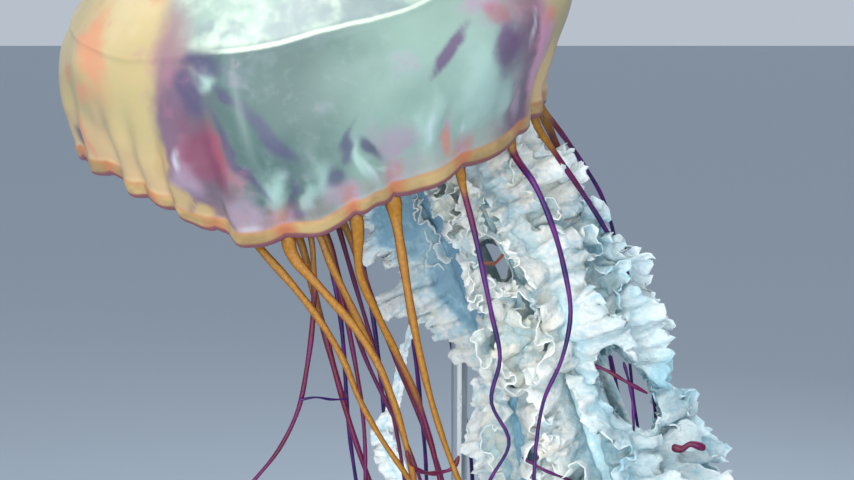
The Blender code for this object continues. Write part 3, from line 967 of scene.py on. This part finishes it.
def frill_points(number, side, kind):
    seed = 1.9 * number + 0.9 * side + FRILLS[kind]["phase"]
    share, across = frill_shares()
    across = 1 - (1 - across) ** 1.25
    at = share * ARM_LENGTH
    width = frill_width(number, side, kind, share)
    outline = width * ragged_outline(number, seed, at, across)
    points, along, square = plain_strip(number, side, kind, seed, share, across, outline)
    grown = share_of(0.02, 0.16, share) * (1 - 0.85 * calm(number, side, kind))
    big = 2 * math.pi * at / FRILL_WAVE + seed
    sway = 0.28 * width * across**1.2 * np.cos(big) * share_of(0.05, 0.3, share)
    points = points + square * sway[..., None]
    size = np.minimum(width, 0.036) / 0.036 * grown
    loose = 1 + 0.5 * wobble(points, 0.011, seed)
    middling = at / 0.0042 + 1.5 * np.sin(at / 0.021 + seed) + 2.6 * seed + 1.8 * across
    small = at / 0.0017 + 1.6 * np.sin(at / 0.0078 + 3 * seed) - 1.6 * across
    tiny = at / 0.00078 + 1.4 * np.sin(at / 0.0036 + 5 * seed) + 2 * across
    points = folded(points, 0.0062 * size * loose * across, middling, 0.0030 * size * across)
    points = folded(points, 0.0032 * size * loose * across**0.8, small, 0.0012 * size * across)
    crumpled = 0.0017 * grown * share_of(0.0, 0.25, across) * wobble(points, 0.0015, seed)
    points = points + square * crumpled[..., None] + along * np.roll(crumpled, 7, 0)[..., None]
    points = folded(points, 0.0011 * size * across**1.8, tiny, 0.0003 * size * across**2)
    return points[width[:, 0] > 0]  # a frill that starts further down has fewer rows


print("a frill has", FRILL_ROWS * FRILL_COLUMNS, "faces on each side")

# %% [markdown]
# ## The frills' finish
# The frills are colourless jelly full of fine lines, so they read as white where they are folded
# thickly at the edge, where a cream painted highlight lies too. Deep between the folds lies a
# painted shade of cool blue-grey, and a painted bluish shade lies along the right of the bunch.

# %% Paint the arms


def frill_finish():
    f = Finish("white_frill")
    at = f.place()
    edge = f.fact("edge")
    broad = f.noise(at, 30, 2, 0.5) - 0.5
    soft = f.noise(at, 75, 3, 0.6) - 0.5
    fine = f.noise(at, 420, 3, 0.65) - 0.5
    lumps = 0.5 - f.cells(at, 260)
    # Painted shade: cool blue-grey deep between the folds near the midrib, pale towards the edge.
    depth = (edge + soft * 0.7 + lumps * 0.3).step(-0.30, 0.35)
    colour = f.mix(depth, (0.20, 0.37, 0.50), (0.64, 0.86, 0.92))
    # White thick edges of the folds, with a painted highlight on their crests.
    crest_and_highlight = (edge + soft * 1.2 + broad * 1.2 + lumps * 0.7).step(0.10, 0.75)
    colour = f.mix(crest_and_highlight, colour, (0.95, 1.0, 0.95))
    # Painted highlight: cream on the crests near the edge.
    cream_highlight = (soft + broad).step(0.02, 0.22) * edge.step(0.1, 0.6)
    colour = f.mix(cream_highlight * 0.6, colour, (1.0, 1.0, 0.80))
    cool = (broad - soft * 0.8 - lumps * 0.2).step(0.04, 0.20)
    colour = f.mix(cool * 0.65, colour, (0.38, 0.62, 0.74))
    # Painted shade: bluer and darker along the right of the bunch.
    colour = f.mix(f.fact("away") * (0.60 + broad), colour, (0.22, 0.46, 0.58))
    f.bump(lumps * 1.6 + fine * 0.7 + f.cells(at, 1100) * 0.4, 0.50, 0.0010)
    return f.shade(
        Base_Color=colour,
        Roughness=0.45,
        Subsurface_Weight=0.6,
        Subsurface_Radius=(0.7, 0.9, 1.0),
        Subsurface_Scale=0.005,
        Coat_Weight=0.15,
        Coat_Roughness=0.2,
        IOR=1.36,
    )


white_frill = frill_finish()
print(white_frill.name, "has", len(white_frill.node_tree.nodes), "nodes")

# %% Build the four arms


def thicken(piece):
    """Gives a frill its thickness, half to each side."""
    shell = piece.modifiers.new("thickness", "SOLIDIFY")
    shell.thickness = FRILL_THICKNESS
    shell.offset = 0.0


lost_faces = 0
for number in range(ARMS):
    name = f"oral_arm_{number + 1}"
    points = keel_points(number)
    bare = -0.4 if number == SMOOTH_ARM else 0.3
    keel = sheet(f"{name}_keel", points, edge=bare + 0 * points[..., 0])
    finish_piece(keel, white_frill, "arm_frill", f"{name}_upper", f"{name}_lower")
    for kind in FRILLS:
        for side, where in ((-1, "left"), (1, "right")):
            points = frill_points(number, side, kind)
            edge = frill_shares()[1] - 0.8 * calm(number, side, kind)
            edge = edge[-len(points):]
            # How far right in the bunch a point is, where painted shade lies.
            away = share_of(0.020, 0.065, points[..., 0])
            frill = sheet(f"{name}_{kind}_{where}", points, closed=False, edge=edge, away=away)
            lost_faces += wear_gaps(frill)
            thicken(frill)
            finish_piece(frill, white_frill, "arm_frill")
print(lost_faces, "faces lost to the gaps")

# %% [markdown]
# ## A loose strand
# Old arms fray. One thin strand of frill has come away from the left side of the bunch and hangs
# between the arms and the tentacles. It is the same kind of strip as the frills, but it follows a
# line of its own and is folded to both sides of it.

# %% Build the loose strand
# Its course, in mm from the animal's middle.
LOOSE_LINE = [
    (62, 12, -122), (44, 13, -133), (37, 14, -150), (34, 15, -176), (25, 16, -195),
    (29, 17, -212), (40, 16, -236), (44, 15, -262), (40, 16, -285),
]
LOOSE_ROWS = 260
LOOSE_COLUMNS = 10
SMOOTHED_ROWS = 33


def loose_points():
    share, across = shares(LOOSE_ROWS, LOOSE_COLUMNS)
    stops = np.array(LOOSE_LINE) / 1000
    spans = np.linspace(0, len(stops) - 1, LOOSE_ROWS + 1)
    rounded = spans - 0.08 * np.sin(2 * math.pi * spans)
    line = np.stack([np.interp(rounded, range(len(stops)), stops[:, i]) for i in range(3)], -1)
    kernel = np.hanning(SMOOTHED_ROWS) / np.hanning(SMOOTHED_ROWS).sum()
    padded = np.pad(line, ((SMOOTHED_ROWS // 2, SMOOTHED_ROWS // 2), (0, 0)), mode="edge")
    line = np.stack([np.convolve(padded[:, i], kernel, "valid") for i in range(3)], -1)
    line = line + np.array(ANIMAL_AT)
    half = 0.0030 + 0.0050 * share_of(0.35, 0.6, share) - 0.0060 * share_of(0.7, 1.0, share)
    offset = (2 * across - 1) * half
    points = line[:, None] + offset[..., None] * ray(0.5 * np.sin(9 * share))
    at = share * 0.19
    edge = np.abs(2 * across - 1)
    points = folded(points, 0.35 * half * edge, at / 0.0026 + 2 * across, 0.12 * half * edge)
    return folded(points, 0.22 * half * (0.3 + edge), at / 0.0011 + 3 * across, 0 * half), edge


points, edge = loose_points()
loose_frill = sheet("loose_frill", points, closed=False, edge=edge)
thicken(loose_frill)
finish_piece(loose_frill, white_frill, "arm_frill")

# %% [markdown]
# ## Mouth stalk
# The arms hang from a short, four-cornered tube in the middle of the bell.

# %% Build the stalk
STALK_ROWS = 90
STALK_COLUMNS = 96
STALK_END = 0.06  # the share of the rows that closes each end
STALK_OVERLAP = 0.003  # how far the stalk runs on into the bell and the arms


def stalk_points():
    down, across = shares(STALK_ROWS, STALK_COLUMNS)
    share = np.clip((down - STALK_END) / (1 - 2 * STALK_END), 0, 1)
    fall = STALK_TOP - STALK_FOOT + 2 * STALK_OVERLAP
    height = STALK_TOP + STALK_OVERLAP - fall * share
    radius = 0.030 - 0.012 * np.sin(math.pi * 0.5 * np.minimum(1.0, share / 0.7)) + 0.004 * share
    bearing = 2 * math.pi * across
    corner = 1 + 0.14 * np.cos(ARMS * (bearing - ARM_TURN)) * share
    corner += 0.03 * np.sin(12 * bearing + 9 * share)
    ends = np.minimum(1, np.minimum(down, 1 - down) / STALK_END)
    return ray(bearing) * (radius * corner * ends)[..., None] + height[..., None] * UP


points = hung(stalk_points())
stalk = sheet("mouth_stalk_skin", points, edge=0.3 + 0 * points[..., 0])
finish_piece(stalk, white_frill, "arm_frill", "mouth_stalk")

# %% [markdown]
# ## Tentacles
# Twenty-four tentacles grow from the notches of the margin. Each sets out as a flat golden
# ribbon, then thins to a crimson and purple thread. Those of the left side first run across
# inside the margin and come out together beside the front corner.

# %% Courses of the tentacles
TENTACLE_LENGTH = 0.66
NEAR_LENGTH = 0.16
NEAR_STEPS = 7
FAR_STEPS = 6
SWAY = 9.0
# Lengths down a tentacle, in metres, and how far it leans to the right at each, in degrees.
LEAN_AT = (0.0, 0.04, 0.08, 0.10, 0.12, 0.14, 0.22, TENTACLE_LENGTH)
COURSES = {
    0: (9, 9, 13, 16, 19, 22, 20, 4),
    1: (15, 12, 11, -20, 45, -30, 8, 8),
    2: (37, 21, 8, -8, -27, -12, 14, 9),
    3: (30, 36, 30, 22, 14, 12, 8, 6),
    4: (34, 38, 32, 22, 12, 8, 8, 8),
    5: (22, 26, 20, 16, 14, 12, 10, 6),
    11: (26, 26, 20, 14, 10, 8, 10, 4),
    12: (34, 32, 22, 16, 12, 10, 10, 2),
    13: (46, 42, 26, 16, 12, 10, 6, 0),
    14: (16, 16, 16, 14, 10, 8, 4, 2),
    15: (20, 20, 22, 22, 20, 14, 4, -2),
    16: (15, 16, 25, 26, 22, 14, 2, 0),
    17: (14, 14, 15, 17, 19, 20, 4, -6),
    18: (17, 12, 8, 4, -1, -2, -4, -4),
    19: (9, -4, -12, -24, -38, -40, -20, 12),
    20: (22, 26, 22, 18, 12, 12, 8, -3),
    21: (43, 37, 22, 28, 34, 34, 20, 3),
    22: (38, 42, 22, 16, 12, 12, 12, 0),
    23: (-8, 26, 24, 18, 14, 12, 8, 2),
}
# Degrees that it sets out away from the viewer.
BACKWARD = {2: -38, 3: 22, 4: 105, 5: 76, 6: 46, 7: 34, 8: 14, 21: -5, 22: -9, 23: 14}
# Where those of the left side come out below the margin, from the animal's middle.
GATES = {
    14: (0.004, -0.052, -0.066),
    15: (0.010, -0.066, -0.069),
    16: (0.001, -0.074, -0.072),
    17: (-0.012, -0.084, -0.073),
    18: (0.000, -0.088, -0.069),
    19: (-0.007, -0.096, -0.065),
    20: (-0.004, -0.104, -0.062),
    21: (-0.031, -0.105, -0.072),
}


print(len(COURSES), "courses,", len(GATES), "of them through a gate")

# %% A line that leans as told


def course_of(number):
    sway = [5 * math.sin(1.7 * i + 2.1 * number) for i in range(len(LEAN_AT))]
    plain = [17 - 12 * d / TENTACLE_LENGTH + w for d, w in zip(LEAN_AT, sway)]
    return COURSES.get(number, plain)


def headed(start, leans, drift, away, phase):
    """Points down a line that leans as told, in short steps and then long ones."""
    far = (TENTACLE_LENGTH - NEAR_LENGTH) / FAR_STEPS
    place = start.copy()
    line = [place.copy()]
    gone = 0.0
    for step in [NEAR_LENGTH / NEAR_STEPS] * NEAR_STEPS + [far] * FAR_STEPS:
        lean = float(np.interp(gone + step / 2, LEAN_AT, leans))
        gone += step
        loose = SWAY * float(share_of(0.15, 0.35, gone))
        lean = math.radians(lean + loose * math.sin(16 * gone + phase))
        back = drift * float(share_of(0.1, 0.3, gone)) + away * max(0.0, 1 - gone / 0.14)
        back = math.radians(back + loose * math.cos(13 * gone + 1.3 * phase))
        heading = Vector((math.sin(lean), math.sin(back), -math.cos(lean))).normalized()
        place = place + heading * step
        line.append(place.copy())
    return line


print("a plain tentacle leans", [round(lean) for lean in course_of(9)], "degrees")

# %% One tentacle's line
ROOT_RISE = 0.003
STUB_DROP = 0.008
GATED_ROOT = (0.0015, -0.002)  # in from the margin, and below it
INSET = 0.0085


def below_margin(number, inward, drop):
    bearing = np.array(cleft_bearing(number))
    return Vector(hung(bell_lip(bearing) - ray(bearing) * inward - drop * UP))


def tentacle_line(number):
    drift = 5.0 * math.sin(cleft_bearing(number))
    away = BACKWARD.get(number, 0.0)
    leans = course_of(number)
    if number not in GATES:
        root = below_margin(number, 0.0, -ROOT_RISE)
        stub = below_margin(number, 0.0, STUB_DROP)
        return [root, *headed(stub, leans, drift, away, 0.6 * number)]
    root = below_margin(number, *GATED_ROOT)
    start = below_margin(number, INSET, -0.002)
    under = below_margin(number, 2 * INSET, 0.001)
    gate = ANIMAL_AT + Vector(GATES[number])
    return [root, start, under, *headed(gate, leans, drift - 2.0, away, 0.6 * number)]


print("a line has", len(tentacle_line(0)), "or", len(tentacle_line(14)), "places")

# %% [markdown]
# The line's few points become a soft curve by matching its direction at each point to those of
# its neighbours, weighed by how near they are. The grid is then wrapped round it as a tube that
# is flat near the bell and round beyond.

# %% A soft curve through uneven points


def soft_curve(points, count):
    """Evenly spaced places along a smooth curve, and how far along each one is."""
    p = np.array([tuple(v) for v in points])
    h = np.linalg.norm(np.diff(p, axis=0), axis=1)[:, None]
    slope = np.diff(p, axis=0) / h
    middle = (slope[:-1] * h[1:] + slope[1:] * h[:-1]) / (h[1:] + h[:-1])
    tangent = np.vstack([slope[:1], middle, slope[-1:]])
    pieces = []
    for i in range(len(h)):
        t = np.linspace(0, 1, 40, endpoint=False)[:, None]
        a = (2 * t**3 - 3 * t**2 + 1) * p[i] + (t**3 - 2 * t**2 + t) * h[i] * tangent[i]
        b = (3 * t**2 - 2 * t**3) * p[i + 1] + (t**3 - t**2) * h[i] * tangent[i + 1]
        pieces.append(a + b)
    dense = np.vstack([*pieces, p[-1:]])
    gone = np.concatenate(([0.0], np.cumsum(np.linalg.norm(np.diff(dense, axis=0), axis=1))))
    even = np.linspace(0, gone[-1], count)
    return np.stack([np.interp(even, gone, dense[:, i]) for i in range(3)], -1), even


def rounded_ends(count, rows):
    """0 at both ends of this many places, and 1 from this many rows in."""
    from_end = np.minimum(np.arange(count), np.arange(count)[::-1])
    return np.sqrt(1 - (1 - np.minimum(from_end, rows) / rows) ** 2)


def tube(line, turn, wide, thick):
    """Rings round a line at these angles, so wide from side to side and so thick to the front."""
    tangent = unit(np.gradient(line, axis=0))
    front = unit(TO_VIEWER + tangent * tangent[:, 1:2])
    side = np.cross(front, tangent)
    points = line[:, None] + side[:, None] * (wide[:, None] * np.cos(turn))[..., None]
    return points + front[:, None] * (thick[:, None] * np.sin(turn))[..., None]


print("an end in three rows:", rounded_ends(10, 3).round(2))

# %% Shape of one tentacle
ROOT_RADIUS = 0.0023
TIP_RADIUS = 0.0009
TENTACLE_ROWS = 170
TENTACLE_COLUMNS = 12
# How far the gold goes, in metres, beside the common run of 0.05.
GOLDEN = {
    0: 0.24, 1: 0.018, 2: 0.012, 3: 0.03, 4: 0.03, 15: 0.10, 16: 0.06, 17: 0.08, 18: 0.05,
    19: 0.03, 20: 0.26, 21: 0.26, 22: 0.16, 23: 0.10,
}
# How thick it is as a share of the full radius, beside the common run of 0.9.
SLENDER = {
    0: 0.80, 1: 0.52, 2: 0.56, 3: 0.56, 4: 0.56, 14: 0.7, 16: 0.7, 18: 0.65, 19: 0.62,
    20: 0.78, 21: 0.78, 22: 0.78, 23: 0.75,
}
RUDDY = range(14, 24)  # these stay crimson to their tips
GOLD_FROM_GATE = range(14, 21)  # their gold is counted from the gate on
GATE_AT = 0.12


def tentacle_points(number):
    """Places, how much of the gold is behind each, and how near it is to the ribbon's rim."""
    line, gone = soft_curve(tentacle_line(number), TENTACLE_ROWS + 1)
    start = GATE_AT if number in GOLD_FROM_GATE else 0.0
    beyond = np.maximum(0.0, gone - start)
    radius = TIP_RADIUS + (ROOT_RADIUS - TIP_RADIUS) * (1 - gone / gone[-1]) ** 2
    radius = radius * SLENDER.get(number, 0.9) * (1 + 0.08 * np.sin(gone / 0.0045 + number))
    flare = np.exp(-np.maximum(0, gone - 0.006) / 0.007)
    ends = rounded_ends(len(gone), 3)
    ribbon = share_of(0.16, 0.02, beyond)
    wide = radius * ends * (1 + 0.3 * ribbon + 1.3 * flare)
    thick = radius * ends * (1 - 0.3 * ribbon + 0.4 * flare)
    turn = np.linspace(0, 2 * math.pi, TENTACLE_COLUMNS + 1)
    faded = beyond[:, None] / GOLDEN.get(number, 0.05) * np.ones_like(turn)
    return tube(line, turn, wide, thick), faded, np.abs(np.cos(turn)) * np.ones_like(faded)


print("the first tentacle is", round(soft_curve(tentacle_line(0), 2)[1][-1], 3), "m long")

# %% [markdown]
# ## The tentacles' finish
# Near the bell a tentacle is gold with crimson edges. Further down the gold gives way to crimson
# and then to purple. How soon it does so differs from one to the next, and is stored on each.

# %% Paint and build the tentacles


def tentacle_finish():
    f = Finish("tentacle_gold_to_purple")
    at = f.place()
    gone = f.fact("gone")
    rim = f.fact("rim")
    soft = f.noise(at, 70, 2, 0.5) - 0.5
    fine = f.noise(at, 600, 3, 0.6) - 0.5
    gold = f.mix(fine.step(-0.2, 0.25), (0.25, 0.10, 0.003), (0.36, 0.16, 0.006))
    crimson = f.mix(soft.step(-0.1, 0.1), (0.11, 0.002, 0.020), (0.11, 0.002, 0.045))
    purple = f.mix(soft.step(-0.1, 0.1), (0.020, 0.002, 0.080), (0.085, 0.003, 0.13))
    edge = (rim + soft * 0.3).step(0.72, 0.98)
    fresh = (gone + soft * 0.5).step(1.25, 0.75)
    turned = (gone + soft * 0.8).step(1.2, 2.6) * (1 - f.fact("ruddy"))
    colour = f.mix(turned, crimson, purple)
    colour = f.mix(fresh, colour, gold)
    colour = f.mix(edge * fresh * 0.8, colour, crimson)
    f.bump(fine + f.cells(at, 1500) * 0.5, 0.3, 0.0004)
    return f.shade(
        Base_Color=colour,
        Roughness=0.42,
        Subsurface_Weight=0.2,
        Subsurface_Radius=(1.0, 0.5, 0.4),
        Subsurface_Scale=0.002,
        Coat_Weight=0.15,
        Coat_Roughness=0.15,
        IOR=1.36,
    )


tentacle_colours = tentacle_finish()
for number in range(TENTACLES):
    name = f"tentacle_{number + 1:02d}"
    points, faded, rim = tentacle_points(number)
    ruddy = 0.75 * (number in RUDDY) + 0 * faded
    skin = sheet(f"{name}_skin", points, gone=faded, rim=rim, ruddy=ruddy)
    finish_piece(skin, tentacle_colours, "tentacle", f"{name}_upper", f"{name}_lower")

# %% [markdown]
# ## Scraps of tentacle
# Broken and looped ends of tentacles cling to the arms and to one another. Each is a short thread
# through a few places, given in mm from the animal's middle.

# %% Build the scraps
SCRAP_ROWS = 60
SCRAP_COLUMNS = 10
# Its half thickness in mm, how far it has turned from gold to purple, and its course.
SCRAPS = [
    (1.0, 1.4, ((136, -44, -143), (147, -46, -147), (154, -47, -151), (168, -46, -159))),
    (0.8, 2.4, ((155, -44, -142), (158, -44, -153), (160, -44, -163), (161, -45, -180))),
    (1.9, 1.4, ((181, -46, -188), (186, -48, -188.5), (190.5, -48, -186), (199, -47, -188.5))),
    (0.9, 1.0, ((79, -76, -84), (84, -75, -85), (90, -70, -81))),
    (0.8, 2.0, ((100, -70, -187), (111, -72, -193), (124, -70, -199), (132, -62, -205))),
    (1.1, 1.2, ((41, -127, -168), (43, -125, -175), (50, -117, -182),
                (57, -110, -184), (64, -108, -182), (67, -107, -176))),
    (0.6, 2.6, ((-13, -99, -150), (-5, -97, -149), (3, -93, -151), (11, -88, -152))),
]


def scrap_points(half, stops):
    stops = [ANIMAL_AT + Vector(stop) / 1000 for stop in stops]
    line, gone = soft_curve(stops, SCRAP_ROWS + 1)
    radius = half / 1000 * rounded_ends(len(gone), 5) * (1 + 0.2 * np.sin(gone / 0.002))
    return tube(line, np.linspace(0, 2 * math.pi, SCRAP_COLUMNS + 1), radius, radius)


for number, (half, turned, stops) in enumerate(SCRAPS):
    points = scrap_points(half, stops)
    scrap = sheet(f"scrap_{number + 1}", points, gone=turned + 0 * points[..., 0])
    finish_piece(scrap, tentacle_colours, "tentacle")

# %% [markdown]
# ## The stand
# The stand is plain: a satin black plate and a brushed rod. Both keep the solid model's shape.

# %% Paint the stand


def paint_node(node, finish):
    thing = bpy.data.objects[node]
    thing.data.materials.clear()
    thing.data.materials.append(finish)
    print(node, "is painted with", finish.name)


plate = Finish("stand_black_paint")
speckle = plate.noise(plate.place(), 700, 3, 0.6)
plate_colour = plate.mix(speckle.step(0.45, 0.6), (0.022, 0.022, 0.025), (0.030, 0.030, 0.033))
plate.bump(speckle, 0.08, 0.0003)
plate.shade(Base_Color=plate_colour, Roughness=0.34 + speckle * 0.08)
paint_node("stand_base", plate.material)

rod = Finish("stand_brushed_steel")
stretched = {"Vector": rod.place(), "Scale": (900.0, 900.0, 12.0)}
lines = rod.noise(rod.node("ShaderNodeMapping", {}, stretched), 1.0, 2, 0.6)
rod.bump(lines, 0.12, 0.0002)
rod_colour = rod.mix(lines, (0.50, 0.51, 0.52), (0.66, 0.67, 0.68))
rod.shade(Base_Color=rod_colour, Roughness=0.22 + lines * 0.14, Metallic=1.0)
paint_node("stand_rod", rod.material)

# %% [markdown]
# ## Floor, light and camera
# The floor is plain and pale. Soft light comes from above and in front, with a cooler one from
# behind that edges the frills. The camera looks slightly down on the bell's rim.

# %% Floor
FLOOR_HALF = 30.0
floor_shape = bmesh.new()
bmesh.ops.create_grid(floor_shape, x_segments=1, y_segments=1, size=FLOOR_HALF)
floor = in_scene("floor", settle(floor_shape, bpy.data.meshes.new("floor")))
floor_paint = Finish("floor_pale_blue_grey")
floor.data.materials.append(floor_paint.shade(Base_Color=(0.42, 0.48, 0.54), Roughness=0.9))
floor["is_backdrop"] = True
print("floor", 2 * FLOOR_HALF, "m wide")

# %% Light
ROOM_COLOUR = (0.80, 0.88, 1.0, 1.0)
ROOM_STRENGTH = 0.60
BELL_MIDDLE = tuple(ANIMAL_AT)
ARMS_MIDDLE = tuple(ANIMAL_AT + Vector((0.13, 0.0, -0.14)))
world = bpy.data.worlds.new("soft_room")
world.use_nodes = True
background = world.node_tree.nodes["Background"].inputs
background["Color"].default_value = ROOM_COLOUR
background["Strength"].default_value = ROOM_STRENGTH
bpy.context.scene.world = world


def soft_light(name, place, aim, size, power, colour):
    lamp = bpy.data.lights.new(name, "AREA")
    lamp.size = size
    lamp.energy = power
    lamp.color = colour
    holder = in_scene(name, lamp)
    holder.location = place
    holder.rotation_euler = (Vector(aim) - Vector(place)).to_track_quat("-Z", "Y").to_euler()
    print(name, "light of", power, "W")


soft_light("key", (-0.7, -1.4, 2.1), BELL_MIDDLE, 1.0, 26, (1.0, 0.98, 0.94))
soft_light("fill", (-0.2, -1.8, 0.50), ARMS_MIDDLE, 1.8, 39, (0.96, 0.99, 1.0))
soft_light("back", (0.7, 1.4, 1.9), BELL_MIDDLE, 1.0, 24, (0.88, 0.95, 1.0))

# %% Camera
CAMERA_TILT = math.radians(8)
CAMERA_REACH = 0.93
CAMERA_RIGHT = 0.051
CAMERA_BELOW = 0.0825
HALF_VIEW = math.radians(14)
SENSOR_WIDTH = 36.0
lens = bpy.data.cameras.new("camera")
lens.sensor_width = SENSOR_WIDTH
lens.lens = SENSOR_WIDTH / 2 / math.tan(HALF_VIEW)
lens.clip_end = 100.0
camera = in_scene("camera", lens)
ahead = Vector((0, math.cos(CAMERA_TILT), -math.sin(CAMERA_TILT)))
over = Vector((0, math.sin(CAMERA_TILT), math.cos(CAMERA_TILT)))
aside = Vector((CAMERA_RIGHT, 0, 0)) - over * CAMERA_BELOW
camera.location = ANIMAL_AT - ahead * CAMERA_REACH + aside
camera.rotation_euler = (math.pi / 2 - CAMERA_TILT, 0, 0)
bpy.context.scene.camera = camera
print("camera", [round(v, 3) for v in camera.location])

# %% Measure the visual model, and finish
low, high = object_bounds()
print("visual model", [round(v, 3) for v in high - low])
bpy.context.scene.view_settings.view_transform = "Standard"
